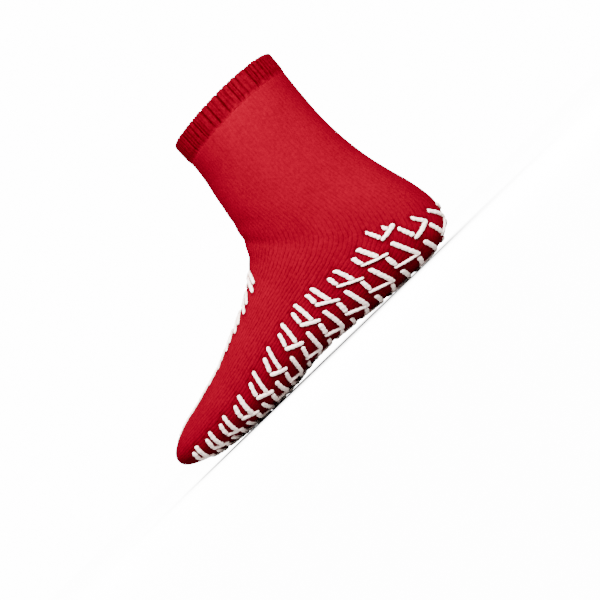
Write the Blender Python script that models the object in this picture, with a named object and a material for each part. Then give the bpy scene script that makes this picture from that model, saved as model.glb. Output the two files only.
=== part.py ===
"""Slipper sock: a knitted tube with a rib cuff and raised grip bars.

The sock stands empty on its sole and keeps the form of the foot that it was stretched over.
Frame: metres, +Z up, toe towards -X, inner (big toe) side towards -Y. The origin is under the
middle of the box that the whole sock fills, on the floor.

Two numbers place anything on the knit. The course runs along the tube: 0 at the tip of the toe,
1 to 20 at the rows of the section table, 21 at the rim. The share runs round the tube, by
length: 0 under the sole, 0.25 on the inner side, 0.5 on top, 0.75 on the outer side.
"""

import math

import bpy
import numpy as np
from mathutils import Vector
from mathutils.geometry import delaunay_2d_cdt

# Sizes of the foot and leg that give the tube its form
FOOT_LENGTH = 0.255
BALL_WIDTH = 0.098
INSTEP_HEIGHT = 0.068
LEG_DEPTH = 0.092
LEG_WIDTH = 0.080
SOCK_HEIGHT = 0.180

# Knit
WALL = 0.0018
CUFF_DEPTH = 0.018
CUFF_WALL = 0.0026
RIB_COUNT = 54
RIB_HEIGHT = 0.0007

# Grip bars. The sole's last row, up the heel, is cut on a slant: it keeps a share of a row's pitch
# at the inner edge, and the cut climbs by the slant for each metre across.
BAR_WIDTH = 0.0031
BAR_HEIGHT = 0.0011
BAR_PRESS = 0.0004
SHORTEST_BAR = 0.0040
COLUMN_PITCH = 0.0218
SOLE_ROW_PITCH = 0.0161
SOLE_ROWS = 12
SOLE_PRINT_WIDTH = 0.133
SOLE_TOE_MARGIN = 0.040
SOLE_LAST_ROW = 0.32
SOLE_LAST_SLANT = 0.15
INSTEP_ROW_PITCH = 0.0137
INSTEP_ROWS = 10
INSTEP_PRINT_WIDTH = 0.054
INSTEP_TOE_MARGIN = 0.028

# Curved pieces and the bars keep this clearance to the piece under them. A bar is straight between
# its points, which are close enough that the knit never rises by more than the sag between them.
GAP = 0.00035
BAR_SAG = 0.00045

# How the toe closes: where the pole lies, as shares of the ball's width and the instep's height
POLE_SIDE = -0.20
POLE_RISE = 0.26
CAP_POWER = 0.60

# One row for each section, from the toe's tip to the top of the leg.
# leg: 0 on the foot and 1 on the leg; it says which size the shares follow.
# top_reach: front or top of the section, from the back of the heel, a share of foot length or
#   leg depth. sole_reach: its back or underside, a share of foot length.
# top_rise and sole_rise: their heights, where 1 is the instep's height and 2 the cuff's seam.
# inner and outer: half widths, shares of ball width or leg width. crest: sideways place of the top.
# belly: share of the section's height where it is widest.
# sole_power and top_power: how square its two halves are. slant: how far the outer side trails.
COLUMNS = ("leg", "top_reach", "top_rise", "sole_reach", "sole_rise", "inner", "outer",
           "crest", "belly", "sole_power", "top_power", "slant")
SECTIONS = (
    (0.00, 1.000, 0.500, 1.000, 0.078, 0.420, 0.320, -0.05, 0.46, 2.30, 2.10, 0.24),
    (0.00, 0.886, 0.568, 0.886, 0.020, 0.462, 0.402, -0.06, 0.44, 2.50, 2.10, 0.25),
    (0.00, 0.812, 0.638, 0.812, 0.002, 0.490, 0.452, -0.07, 0.42, 2.70, 2.05, 0.24),
    (0.00, 0.735, 0.725, 0.735, 0.000, 0.505, 0.490, -0.08, 0.40, 2.80, 1.95, 0.21),
    (0.00, 0.663, 0.850, 0.663, 0.010, 0.478, 0.495, -0.08, 0.39, 2.80, 1.88, 0.15),
    (0.00, 0.588, 0.980, 0.588, 0.045, 0.430, 0.470, -0.07, 0.40, 2.70, 1.85, 0.08),
    (0.06, 0.578, 1.035, 0.522, 0.066, 0.402, 0.454, -0.06, 0.42, 2.60, 1.87, 0.03),
    (0.15, 0.585, 1.087, 0.451, 0.062, 0.383, 0.435, -0.04, 0.44, 2.50, 1.90, 0.00),
    (0.28, 0.616, 1.141, 0.373, 0.036, 0.376, 0.419, -0.03, 0.46, 2.50, 1.93, 0.00),
    (0.42, 0.666, 1.197, 0.286, 0.010, 0.385, 0.409, -0.02, 0.48, 2.50, 1.95, 0.00),
    (0.56, 0.737, 1.254, 0.196, 0.000, 0.398, 0.410, -0.01, 0.50, 2.40, 1.97, 0.00),
    (0.68, 0.819, 1.312, 0.106, 0.004, 0.411, 0.415, 0.00, 0.52, 2.35, 2.00, 0.00),
    (0.78, 0.909, 1.370, 0.031, 0.096, 0.423, 0.423, 0.00, 0.54, 2.30, 2.00, 0.00),
    (0.86, 1.000, 1.430, 0.001, 0.353, 0.433, 0.433, 0.00, 0.55, 2.20, 2.00, 0.00),
    (0.93, 1.097, 1.489, 0.009, 0.647, 0.442, 0.442, 0.00, 0.55, 2.15, 2.00, 0.00),
    (1.00, 1.217, 1.559, 0.030, 0.926, 0.450, 0.450, 0.00, 0.54, 2.10, 2.00, 0.00),
    (1.00, 1.200, 1.638, 0.049, 1.149, 0.453, 0.453, 0.00, 0.52, 2.05, 2.00, 0.00),
    (1.00, 1.183, 1.723, 0.060, 1.356, 0.459, 0.459, 0.00, 0.51, 2.00, 2.00, 0.00),
    (1.00, 1.163, 1.814, 0.062, 1.569, 0.469, 0.469, 0.00, 0.50, 2.00, 2.00, 0.00),
    (1.00, 1.146, 1.910, 0.057, 1.787, 0.481, 0.481, 0.00, 0.50, 2.00, 2.00, 0.00),
    (1.00, 1.135, 2.000, 0.051, 2.000, 0.491, 0.491, 0.00, 0.50, 2.00, 2.00, 0.00),
    (1.00, 1.130, 3.000, 0.047, 3.000, 0.494, 0.494, 0.00, 0.50, 2.00, 2.00, 0.00),
)
SEAM_COURSE = len(SECTIONS) - 2.0
RIM_COURSE = len(SECTIONS) - 1.0

# One motif of the print, in shares of the row pitch (towards the toe) and of the column pitch.
# Each bar runs from its first point to its second, where it joins another. The short bar reaches
# back to the cross bar of the column before it, which joins a whole row. The column at the inner
# edge has shorter bars. The instep's print is the same, turned half round.
MOTIF = (
    ((-0.547, 0.431), (0.00, 0.00)),
    ((-0.52, -0.545), (-0.07, 0.02)),
    ((-0.930, -0.680), (-0.502, 0.390)),
)
EDGE_MOTIF = (
    ((-0.547, 0.431), (0.00, 0.00)),
    ((-0.33, -0.49), (-0.07, 0.02)),
    ((-0.70, -0.58), (-0.39, 0.27)),
)

# The print is as wide as drawn where the knit is stretched to this girth. It gives with the knit
# up to a limit. Its first column starts a share of the pitch inside the edge. Corners of the bars
# are joined in millimetres with a tolerance, and the stretch under them is read over a nudge.
PRINT_GIRTH = 0.250
PRINT_STRETCH_LIMIT = 1.06
FIRST_COLUMN = 0.65
PRINT_UNIT = 0.001
JOIN_TOLERANCE = 0.0001
PRINT_NUDGE = 0.0005

# Numbers of steps in the meshes. The grid's first ring is so near the pole as a share of a step.
GRID_STEPS_PER_ROW = 16
GRID_SHARES = 144
NEAR_POLE = 0.01
SECTION_SAMPLES = 96
BODY_SHARES = 24
TOE_COURSES = (0.15, 0.36, 0.64)
BODY_COURSE_STEP = 0.73
BAR_SAMPLES = 7
FLOOR_SAMPLES = 200
SHARP_ANGLE = math.radians(40.0)

# Colours and roughness of the three materials
RED = (0.48, 0.012, 0.020, 1.0)
DARK_RED = (0.30, 0.012, 0.016, 1.0)
CREAM = (0.86, 0.78, 0.74, 1.0)
KNIT_ROUGHNESS = 0.9
RIB_ROUGHNESS = 0.95
GRIP_ROUGHNESS = 0.55


def clear_scene():
    """Removes what the scene starts with."""
    for thing in list(bpy.data.objects):
        bpy.data.objects.remove(thing, do_unlink=True)


def make_material(name, colour, roughness):
    """A Principled material of one colour."""
    material = bpy.data.materials.new(name)
    material.use_nodes = True
    shader = material.node_tree.nodes["Principled BSDF"]
    shader.inputs["Base Color"].default_value = colour
    shader.inputs["Roughness"].default_value = roughness
    shader.inputs["Metallic"].default_value = 0.0
    material.diffuse_color = colour
    return material


def rows_in_metres():
    """The section table with every share turned into metres, one column after another."""
    rows = {name: np.array([row[i] for row in SECTIONS]) for i, name in enumerate(COLUMNS)}
    leg = rows["leg"]
    depth = FOOT_LENGTH + (LEG_DEPTH - FOOT_LENGTH) * leg
    width = BALL_WIDTH + (LEG_WIDTH - BALL_WIDTH) * leg
    heights = (0.0, INSTEP_HEIGHT, SOCK_HEIGHT - CUFF_DEPTH, SOCK_HEIGHT)
    rows["top_reach"] = rows["top_reach"] * depth
    rows["sole_reach"] = rows["sole_reach"] * FOOT_LENGTH
    rows["top_rise"] = np.interp(rows["top_rise"], (0.0, 1.0, 2.0, 3.0), heights)
    rows["sole_rise"] = np.interp(rows["sole_rise"], (0.0, 1.0, 2.0, 3.0), heights)
    for name in ("inner", "outer", "crest"):
        rows[name] = rows[name] * width
    return rows


def through_rows(values, place):
    """A smooth curve through the values of a column (cubic, slopes from the rows on either side)."""
    slopes = np.gradient(values)
    first = np.clip(np.floor(place).astype(int), 0, len(values) - 2)
    part = place - first
    rest = 1.0 - part
    start = values[first] * (1.0 + 2.0 * part) * rest ** 2 + slopes[first] * part * rest ** 2
    end = values[first + 1] * (3.0 - 2.0 * part) * part ** 2 - slopes[first + 1] * rest * part ** 2
    return start + end


def section_outlines(courses, angles):
    """Points on the sections at some courses: an array of courses by angles by three.

    Each section is a closed curve of two superellipse halves. In the toe, before row 1, it also
    shrinks towards the pole like the end of an egg.
    """
    in_toe = courses < 1.0
    turn = np.where(in_toe, courses, 1.0) * math.pi / 2.0
    place = np.where(in_toe, 1.0 - np.cos(turn), courses)
    scale = np.sin(turn) ** CAP_POWER
    rows = {name: through_rows(column, place)[:, None] for name, column in rows_in_metres().items()}
    scale = scale[:, None]
    down = np.cos(angles)[None, :]
    side = np.sin(angles)[None, :]
    power = np.where(down > 0.0, rows["sole_power"], rows["top_power"])
    fall = np.abs(down) ** (2.0 / power)
    spread = np.abs(side) ** (2.0 / power)
    belly = rows["belly"]
    height = np.where(down > 0.0, belly * (1.0 - fall), belly + (1.0 - belly) * fall)
    half_width = np.where(side > 0.0, -rows["inner"], rows["outer"])
    reach = rows["sole_reach"] + (rows["top_reach"] - rows["sole_reach"]) * height
    rise = rows["sole_rise"] + (rows["top_rise"] - rows["sole_rise"]) * height
    across = half_width * spread + rows["crest"] * height
    pole_side = POLE_SIDE * BALL_WIDTH
    pole_rise = POLE_RISE * INSTEP_HEIGHT
    across = pole_side + (across - pole_side) * scale
    rise = np.where(in_toe[:, None], pole_rise + (rise - pole_rise) * scale, rise)
    reach = reach - rows["slant"] * (across - pole_side)
    return np.stack((FOOT_LENGTH / 2.0 - reach, across, rise), axis=-1)


class Knit:
    """The outer face of the tube as a fine grid of points and normals that can be read between."""

    def __init__(self):
        count = int(RIM_COURSE * GRID_STEPS_PER_ROW) + 1
        self.courses = np.linspace(0.0, RIM_COURSE, count)
        self.courses[0] = self.courses[1] * NEAR_POLE
        half = self.even_half(np.linspace(0.0, math.pi, SECTION_SAMPLES))
        other = self.even_half(np.linspace(math.pi, 2.0 * math.pi, SECTION_SAMPLES))
        self.points = np.concatenate((half[:, :-1], other), axis=1)
        along = np.gradient(self.points, axis=0)
        padded = np.concatenate((self.points[:, -2:-1], self.points, self.points[:, 1:2]), axis=1)
        around = padded[:, 2:] - padded[:, :-2]
        normals = np.cross(along, around)
        self.normals = normals / np.linalg.norm(normals, axis=2, keepdims=True)
        self.normals[0] = (-1.0, 0.0, 0.0)
        steps = np.linalg.norm(np.diff(self.points, axis=0), axis=2)
        start = np.zeros((1, GRID_SHARES + 1))
        self.lengths = np.concatenate((start, np.cumsum(steps, axis=0)))
        self.girths = np.linalg.norm(np.diff(self.points, axis=1), axis=2).sum(axis=1)

    def even_half(self, angles):
        """One half of each section with its points spaced evenly by length."""
        dense = section_outlines(self.courses, angles)
        steps = np.linalg.norm(np.diff(dense, axis=1), axis=2)
        lengths = np.concatenate((np.zeros((len(dense), 1)), np.cumsum(steps, axis=1)), axis=1)
        wanted = np.linspace(0.0, 1.0, GRID_SHARES // 2 + 1)
        half = np.empty((len(dense), len(wanted), 3))
        for i, line in enumerate(dense):
            for axis in range(3):
                half[i, :, axis] = np.interp(wanted * lengths[i, -1], lengths[i], line[:, axis])
        return half

    def read(self, grid, courses, shares):
        """Values of a grid between its lines."""
        row = np.interp(courses, self.courses, np.arange(len(self.courses)))
        column = (shares % 1.0) * GRID_SHARES
        i = np.clip(row.astype(int), 0, len(self.courses) - 2)
        j = np.clip(column.astype(int), 0, GRID_SHARES - 1)
        u = (row - i)[..., None]
        v = (column - j)[..., None]
        low = grid[i, j] * (1.0 - v) + grid[i, j + 1] * v
        high = grid[i + 1, j] * (1.0 - v) + grid[i + 1, j + 1] * v
        return low * (1.0 - u) + high * u

    def at(self, courses, shares, lift=0.0):
        """Points at a distance outside the knit, or inside it where lift is negative."""
        courses, shares = np.broadcast_arrays(np.asarray(courses, float), np.asarray(shares, float))
        normals = self.read(self.normals, courses, shares)
        normals = normals / np.linalg.norm(normals, axis=-1, keepdims=True)
        return self.read(self.points, courses, shares) + normals * np.asarray(lift)[..., None]


def add_piece(name, vertices, faces, material):
    """A named object from points and faces, shaded smooth up to a sharp edge."""
    mesh = bpy.data.meshes.new(name)
    mesh.from_pydata([tuple(vertex) for vertex in vertices], [], faces)
    mesh.materials.append(material)
    mesh.update()
    mesh.shade_smooth()
    mesh.set_sharp_from_angle(angle=SHARP_ANGLE)
    piece = bpy.data.objects.new(name, mesh)
    bpy.context.scene.collection.objects.link(piece)
    return piece


def ring_faces(first, second, count):
    """Quads between two rings of points that start at two numbers."""
    return [(first + j, first + (j + 1) % count, second + (j + 1) % count, second + j)
            for j in range(count)]


def make_body(knit, material):
    """The tube: an outer and an inner skin, closed at the toe, joined by a rim under the cuff."""
    top = SEAM_COURSE - GAP / CUFF_DEPTH / 2.0
    count = int(round((top - 1.0) / BODY_COURSE_STEP)) + 1
    courses = np.concatenate((TOE_COURSES, np.linspace(1.0, top, count)))
    shares = np.arange(BODY_SHARES) / BODY_SHARES
    outer = knit.at(courses[:, None], shares[None, :])
    inner = knit.at(courses[:, None], shares[None, :], -WALL)
    pole = knit.points[0].mean(axis=0)
    inner_pole = pole + np.array((WALL, 0.0, 0.0))
    vertices = np.concatenate((outer.reshape(-1, 3), inner.reshape(-1, 3), (pole, inner_pole)))
    skin = len(courses) * BODY_SHARES
    faces = []
    for i in range(len(courses) - 1):
        start = i * BODY_SHARES
        faces += ring_faces(start, start + BODY_SHARES, BODY_SHARES)
        faces += ring_faces(skin + start + BODY_SHARES, skin + start, BODY_SHARES)
    faces += ring_faces(skin - BODY_SHARES, 2 * skin - BODY_SHARES, BODY_SHARES)
    for j in range(BODY_SHARES):
        k = (j + 1) % BODY_SHARES
        faces.append((2 * skin, k, j))
        faces.append((2 * skin + 1, skin + j, skin + k))
    return add_piece("knit_body", vertices, turned(faces), material)


def turned(faces):
    """Faces with their corners in the other order."""
    return [tuple(reversed(face)) for face in faces]


def make_cuff(knit, material):
    """The welt: a ring with upright ribs outside and a plain inside."""
    bottom = SEAM_COURSE + GAP / CUFF_DEPTH / 2.0
    shares = np.arange(2 * RIB_COUNT) / (2.0 * RIB_COUNT)
    ribs = np.where(np.arange(2 * RIB_COUNT) % 2 == 0, RIB_HEIGHT, 0.0)
    rings = (
        knit.at(bottom, shares, ribs),
        knit.at(RIM_COURSE, shares, ribs),
        knit.at(RIM_COURSE, shares, np.full(len(shares), -CUFF_WALL)),
        knit.at(bottom, shares, np.full(len(shares), -CUFF_WALL)),
    )
    count = len(shares)
    faces = []
    for i in range(len(rings)):
        faces += ring_faces(i * count, (i + 1) % len(rings) * count, count)
    return add_piece("ribbed_cuff", np.concatenate(rings), turned(faces), material)


def clip_bar(start, end, limits):
    """A bar shortened to the print's edges, or None where they cut off its joined end or leave little.

    The points are (from the toe, across) in metres of the print, and the second is the joined end.
    Each limit is a direction and the furthest that a point may lie that way.
    """
    start, end = np.array(start), np.array(end)
    for direction, furthest in limits:
        start_over = np.dot(start, direction) - furthest
        end_over = np.dot(end, direction) - furthest
        if end_over > 0.0:
            return None
        if start_over > 0.0:
            start = end + (start - end) * end_over / (end_over - start_over)
    if np.linalg.norm(end - start) < SHORTEST_BAR:
        return None
    return start, end


class Print:
    """A print of bars in rows across the tube, and where it lies on the knit.

    A flat point of it is (from the toe, across) in metres. The first number is a length along the
    knit, measured along the top for the instep and along the mean of all lines for the sole. turn
    is -1 where the print is turned half round.
    """

    def __init__(self, knit, middle, turn, width, row_lengths, last_row, slant, lengths):
        self.knit = knit
        self.middle = middle
        self.turn = turn
        self.width = width
        self.row_lengths = row_lengths
        self.row_pitch = row_lengths[1] - row_lengths[0]
        self.end = row_lengths[-1] + self.row_pitch * last_row
        self.slant = slant
        self.lengths = lengths

    def on_knit(self, flat, lift=0.0):
        """Points of the print on the knit."""
        return self.knit.at(*self.place(flat), lift)

    def place(self, flat):
        """Courses and shares of flat points."""
        courses = np.interp(flat[:, 0], self.lengths, self.knit.courses)
        girth = np.interp(courses, self.knit.courses, self.knit.girths)
        stretch = np.minimum(1.0, PRINT_STRETCH_LIMIT * PRINT_GIRTH / girth)
        return courses, self.middle - flat[:, 1] / PRINT_GIRTH * stretch

    def bar_outline(self, start, end):
        """Corners of one flat bar, and how far the knit bulges between them.

        The bar is BAR_WIDTH wide where the stretched knit has it: its side is square to its run on
        the knit, and is worked out from how much the knit is stretched each way.
        """
        samples = start + (end - start) * np.linspace(0.0, 1.0, BAR_SAMPLES)[:, None]
        length = np.linalg.norm(np.diff(self.on_knit(samples), axis=0), axis=1).sum()
        normals = self.knit.read(self.knit.normals, *self.place(samples))
        bend = np.linalg.norm(np.diff(normals, axis=0), axis=1).sum()
        steps = max(1, math.ceil(math.sqrt(length * bend / (8.0 * BAR_SAG))))
        sag = length * bend / (8.0 * steps ** 2)
        spine = start + (end - start) * np.linspace(0.0, 1.0, steps + 1)[:, None]
        nudges = PRINT_NUDGE * np.array(((0.0, 0.0), (1.0, 0.0), (0.0, 1.0)))
        nudged = (spine[:, None, :] + nudges).reshape(-1, 2)
        moved = self.on_knit(nudged).reshape(-1, 3, 3)
        stretch = np.linalg.norm(moved[:, 1:] - moved[:, :1], axis=2) / PRINT_NUDGE
        run = (end - start) * stretch
        side = np.stack((-run[:, 1], run[:, 0]), axis=1) / stretch
        side *= BAR_WIDTH / 2.0 / np.linalg.norm(run, axis=1)[:, None]
        return np.concatenate((spine - side, (spine + side)[::-1])), sag

    def row_bars(self, row_length):
        """Outlines of all bars in one row across, with the sag of each."""
        edge = self.width / 2.0
        limits = (((0.0, -1.0), edge), ((0.0, 1.0), edge),
                  ((1.0, -self.slant), self.end + self.slant * edge))
        bars = []
        for column in range(int(self.width / COLUMN_PITCH) + 1):
            across = (column + FIRST_COLUMN) * COLUMN_PITCH - edge
            for ends in EDGE_MOTIF if column == 0 else MOTIF:
                points = [(row_length - self.turn * along * self.row_pitch,
                           self.turn * (across + aside * COLUMN_PITCH)) for along, aside in ends]
                clipped = clip_bar(*points, limits)
                if clipped:
                    bars.append(self.bar_outline(*clipped))
        return bars


def make_grip_row(grip, name, row_length, floor, material):
    """One row of bars, joined where they meet, laid round the knit and flattened on the floor."""
    points = []
    sags = []
    polygons = []
    for outline, sag in grip.row_bars(row_length):
        polygons.append(list(range(len(points), len(points) + len(outline))))
        points += [Vector(point / PRINT_UNIT) for point in outline]
        sags += [sag] * len(outline)
    flat, _, triangles, sources, _, _ = delaunay_2d_cdt(points, [], polygons, 1, JOIN_TOLERANCE)
    flat = np.array([tuple(point) for point in flat]) * PRINT_UNIT
    lift = np.array([max((sags[k] for k in source), default=0.0) for source in sources])
    for triangle in triangles:
        crossings = [k for k in triangle if not sources[k]]
        lift[crossings] = np.maximum(lift[crossings], lift[list(triangle)].max())
    bottom = grip.on_knit(flat, GAP + lift)
    top = grip.on_knit(flat, GAP + BAR_HEIGHT + lift)
    top[:, 2] = np.maximum(top[:, 2], floor)
    count = len(flat)
    faces = []
    edges = set()
    for a, b, c in triangles:
        faces.append((c + count, b + count, a + count))
        faces.append((a, b, c))
        edges.update(((a, b), (b, c), (c, a)))
    for first, second in edges:
        if (second, first) not in edges:
            faces.append((first + count, second + count, second, first))
    return add_piece(name, np.concatenate((bottom, top)), faces, material)


def lowest_bar_face(knit):
    """Height of the lowest point that an unpressed bar would reach."""
    courses = np.linspace(1.0, SEAM_COURSE, FLOOR_SAMPLES)
    return knit.at(courses, 0.0, GAP + BAR_HEIGHT)[:, 2].min()


def stand_at_origin(pieces):
    """Moves every piece so that the whole sock stands over the origin."""
    corners = np.array([tuple(vertex.co) for piece in pieces for vertex in piece.data.vertices])
    low, high = corners.min(axis=0), corners.max(axis=0)
    shift = Vector((-(low[0] + high[0]) / 2.0, -(low[1] + high[1]) / 2.0, -low[2]))
    for piece in pieces:
        for vertex in piece.data.vertices:
            vertex.co += shift
        piece.data.update()


def main():
    """Builds the sock."""
    clear_scene()
    knit = Knit()
    red = make_material("knit", RED, KNIT_ROUGHNESS)
    dark_red = make_material("rib_knit", DARK_RED, RIB_ROUGHNESS)
    cream = make_material("grip_rubber", CREAM, GRIP_ROUGHNESS)
    pieces = [make_body(knit, red), make_cuff(knit, dark_red)]
    floor = lowest_bar_face(knit) + BAR_PRESS
    top_line = knit.lengths[:, GRID_SHARES // 2]
    sole_rows = SOLE_TOE_MARGIN + SOLE_ROW_PITCH * np.arange(SOLE_ROWS)
    instep_rows = INSTEP_TOE_MARGIN + INSTEP_ROW_PITCH * np.arange(INSTEP_ROWS)
    prints = (
        ("sole", Print(knit, 0.0, 1.0, SOLE_PRINT_WIDTH, sole_rows, SOLE_LAST_ROW,
                       SOLE_LAST_SLANT, knit.lengths.mean(axis=1))),
        ("instep", Print(knit, 0.5, -1.0, INSTEP_PRINT_WIDTH, instep_rows, 0.0, 0.0, top_line)),
    )
    for place, grip in prints:
        for number, length in enumerate(grip.row_lengths, start=1):
            name = f"{place}_grip_{number:02d}"
            pieces.append(make_grip_row(grip, name, length, floor, cream))
    stand_at_origin(pieces)


main()
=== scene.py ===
"""The look of the slipper sock: red knit, a rib cuff and printed grip bars, lit as in the photo.

The sock's surface is the one that the CAD solids are cut from. Two numbers place anything on it.
The course runs along the tube, from 0 at the tip of the toe to 20 under the cuff and 21 at the
rim. The share runs round the tube by length: 0 under the sole, 0.25 on the inner side, which the
camera sees, 0.5 on top and 0.75 on the outer side.
"""

import logging
import math
from dataclasses import dataclass, field
from enum import Enum

import bmesh
import bpy
import numpy as np
from mathutils import Matrix, Vector


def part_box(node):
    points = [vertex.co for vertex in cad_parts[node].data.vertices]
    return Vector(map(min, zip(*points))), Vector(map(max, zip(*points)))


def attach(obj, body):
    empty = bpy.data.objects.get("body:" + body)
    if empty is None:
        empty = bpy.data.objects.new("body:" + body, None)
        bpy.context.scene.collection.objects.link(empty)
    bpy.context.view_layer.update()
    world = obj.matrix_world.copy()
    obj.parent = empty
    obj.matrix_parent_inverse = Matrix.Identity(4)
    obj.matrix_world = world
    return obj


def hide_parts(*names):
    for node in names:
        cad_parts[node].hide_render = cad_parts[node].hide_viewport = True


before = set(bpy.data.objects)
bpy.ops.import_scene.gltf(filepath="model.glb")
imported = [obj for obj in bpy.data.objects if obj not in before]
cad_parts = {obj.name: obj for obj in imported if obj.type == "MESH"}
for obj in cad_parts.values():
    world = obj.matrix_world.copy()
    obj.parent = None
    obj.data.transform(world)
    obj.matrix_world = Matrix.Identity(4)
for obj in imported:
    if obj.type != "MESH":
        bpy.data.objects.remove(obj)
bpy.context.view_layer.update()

LOG = logging.getLogger("slipper_sock")
SEED = 7
TURN = 2.0 * math.pi
Pair = tuple[float, float]
Triple = tuple[float, float, float]
Colour = tuple[float, float, float, float]

# Sizes of the foot and leg that the tube is stretched over, in metres
FOOT_LENGTH = 0.255
BALL_WIDTH = 0.098
INSTEP_HEIGHT = 0.068
LEG_DEPTH = 0.092
LEG_WIDTH = 0.080
SOCK_HEIGHT = 0.180
CUFF_DEPTH = 0.018

# How the toe closes: where the pole lies, as shares of the ball's width and the instep's height
POLE_SIDE = -0.20
POLE_RISE = 0.26
CAP_POWER = 0.60

# One row for each section from the toe's tip to the top of the leg, in shares of the sizes above.
COLUMNS = ("leg", "top_reach", "top_rise", "sole_reach", "sole_rise", "inner", "outer",
           "crest", "belly", "sole_power", "top_power", "slant")
SECTIONS = (
    (0.00, 1.000, 0.500, 1.000, 0.078, 0.420, 0.320, -0.05, 0.46, 2.30, 2.10, 0.24),
    (0.00, 0.886, 0.568, 0.886, 0.020, 0.462, 0.402, -0.06, 0.44, 2.50, 2.10, 0.25),
    (0.00, 0.812, 0.638, 0.812, 0.002, 0.490, 0.452, -0.07, 0.42, 2.70, 2.05, 0.24),
    (0.00, 0.735, 0.725, 0.735, 0.000, 0.505, 0.490, -0.08, 0.40, 2.80, 1.95, 0.21),
    (0.00, 0.663, 0.850, 0.663, 0.010, 0.478, 0.495, -0.08, 0.39, 2.80, 1.88, 0.15),
    (0.00, 0.588, 0.980, 0.588, 0.045, 0.430, 0.470, -0.07, 0.40, 2.70, 1.85, 0.08),
    (0.06, 0.578, 1.035, 0.522, 0.066, 0.402, 0.454, -0.06, 0.42, 2.60, 1.87, 0.03),
    (0.15, 0.585, 1.087, 0.451, 0.062, 0.383, 0.435, -0.04, 0.44, 2.50, 1.90, 0.00),
    (0.28, 0.616, 1.141, 0.373, 0.036, 0.376, 0.419, -0.03, 0.46, 2.50, 1.93, 0.00),
    (0.42, 0.666, 1.197, 0.286, 0.010, 0.385, 0.409, -0.02, 0.48, 2.50, 1.95, 0.00),
    (0.56, 0.737, 1.254, 0.196, 0.000, 0.398, 0.410, -0.01, 0.50, 2.40, 1.97, 0.00),
    (0.68, 0.819, 1.312, 0.106, 0.004, 0.411, 0.415, 0.00, 0.52, 2.35, 2.00, 0.00),
    (0.78, 0.909, 1.370, 0.031, 0.096, 0.423, 0.423, 0.00, 0.54, 2.30, 2.00, 0.00),
    (0.86, 1.000, 1.430, 0.001, 0.353, 0.433, 0.433, 0.00, 0.55, 2.20, 2.00, 0.00),
    (0.93, 1.097, 1.489, 0.009, 0.647, 0.442, 0.442, 0.00, 0.55, 2.15, 2.00, 0.00),
    (1.00, 1.217, 1.559, 0.030, 0.926, 0.450, 0.450, 0.00, 0.54, 2.10, 2.00, 0.00),
    (1.00, 1.200, 1.638, 0.049, 1.149, 0.453, 0.453, 0.00, 0.52, 2.05, 2.00, 0.00),
    (1.00, 1.183, 1.723, 0.060, 1.356, 0.459, 0.459, 0.00, 0.51, 2.00, 2.00, 0.00),
    (1.00, 1.163, 1.814, 0.062, 1.569, 0.469, 0.469, 0.00, 0.50, 2.00, 2.00, 0.00),
    (1.00, 1.146, 1.910, 0.057, 1.787, 0.481, 0.481, 0.00, 0.50, 2.00, 2.00, 0.00),
    (1.00, 1.135, 2.000, 0.051, 2.000, 0.491, 0.491, 0.00, 0.50, 2.00, 2.00, 0.00),
    (1.00, 1.130, 3.000, 0.047, 3.000, 0.494, 0.494, 0.00, 0.50, 2.00, 2.00, 0.00),
)
SEAM_COURSE = len(SECTIONS) - 2.0
RIM_COURSE = len(SECTIONS) - 1.0

# The print, in metres: its pitches, and the girth at which it is as wide as drawn
COLUMN_PITCH = 0.0218
PRINT_GIRTH = 0.250
PRINT_STRETCH_LIMIT = 1.06
FIRST_COLUMN = 0.65


class Bar(Enum):
    """One bar of the print's motif.

    Each value is its two ends, in shares of the row pitch towards the toe and of the column pitch,
    and its width in metres. It meets another bar at its second end.
    """

    CROSS = ((-0.545, 0.440), (0.00, 0.00), 0.0030)
    SHORT = ((-0.38, -0.51), (-0.110, -0.035), 0.0031)
    LONG = ((-0.91, -0.68), (-0.510, 0.385), 0.0031)
    EDGE_SHORT = ((-0.32, -0.47), (-0.080, -0.030), 0.0031)
    EDGE_LONG = ((-0.685, -0.57), (-0.395, 0.225), 0.0032)


EDGE_MOTIF = (Bar.CROSS, Bar.EDGE_SHORT, Bar.EDGE_LONG)
MOTIF = (Bar.CROSS, Bar.SHORT, Bar.LONG)


def rows_in_metres() -> dict[str, np.ndarray]:
    """The section table with every share turned into metres, one column after another.

    Returns:
        One array for each column's name.
    """
    rows = {name: np.array([row[i] for row in SECTIONS]) for i, name in enumerate(COLUMNS)}
    leg = rows["leg"]
    depth = FOOT_LENGTH + (LEG_DEPTH - FOOT_LENGTH) * leg
    width = BALL_WIDTH + (LEG_WIDTH - BALL_WIDTH) * leg
    heights = (0.0, INSTEP_HEIGHT, SOCK_HEIGHT - CUFF_DEPTH, SOCK_HEIGHT)
    rows["top_reach"] = rows["top_reach"] * depth
    rows["sole_reach"] = rows["sole_reach"] * FOOT_LENGTH
    for name in ("top_rise", "sole_rise"):
        rows[name] = np.interp(rows[name], (0.0, 1.0, 2.0, 3.0), heights)
    for name in ("inner", "outer", "crest"):
        rows[name] = rows[name] * width
    return rows


def through_rows(values: np.ndarray, place: np.ndarray) -> np.ndarray:
    """A smooth curve through the values of a column: cubic, with slopes from the rows beside it.

    Args:
        values: One value for each row of the table.
        place: Places along the table, where 0 is its first row.

    Returns:
        The values at those places.
    """
    slopes = np.gradient(values)
    first = np.clip(np.floor(place).astype(int), 0, len(values) - 2)
    part = place - first
    rest = 1.0 - part
    start = values[first] * (1.0 + 2.0 * part) * rest ** 2 + slopes[first] * part * rest ** 2
    end = values[first + 1] * (3.0 - 2.0 * part) * part ** 2 - slopes[first + 1] * rest * part ** 2
    return start + end


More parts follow.
